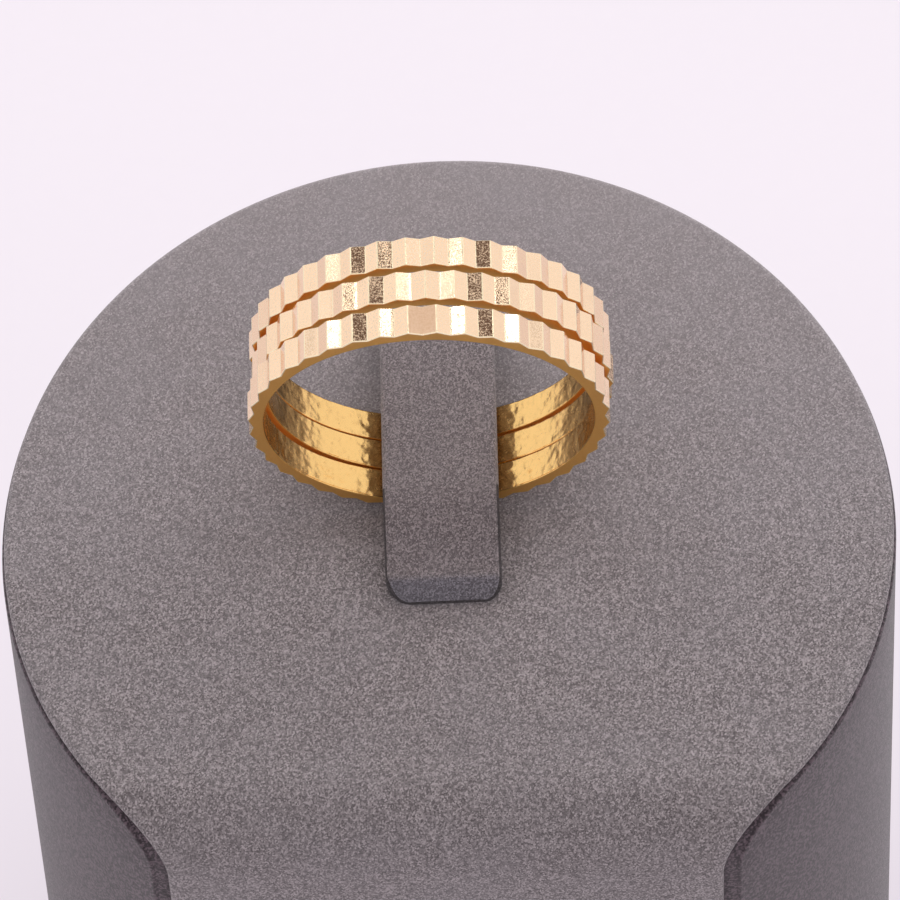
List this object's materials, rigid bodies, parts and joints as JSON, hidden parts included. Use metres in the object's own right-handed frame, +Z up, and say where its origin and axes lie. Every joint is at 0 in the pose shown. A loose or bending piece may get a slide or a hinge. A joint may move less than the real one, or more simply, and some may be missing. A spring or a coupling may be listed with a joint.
{
  "type": "stackable rings on display stand",
  "caption": "Narrow ridged gold bands stacked upright on a round grey fabric-covered display stand, held by a springy fabric-covered tongue.",
  "frame": {"origin": "middle of the round column's base, on its axis", "axes": "+Z up along the column's axis, -Y towards the stand's flat front and the viewer, +X to the viewer's right"},
  "size_m": [0.049, 0.0436, 0.0604],
  "materials": {
    "gold": "polished rose-tinted yellow gold",
    "fabric_top": "short grey microfibre",
    "fabric_side": "short grey microfibre"
  },
  "bodies": {
    "root": {"ring_front": "gold", "ring_middle": "gold", "ring_back": "gold", "holding_tongue": "fabric_top", "stand_cover": "fabric_top", "stand_column": "fabric_side"}
  },
  "joints": []
}
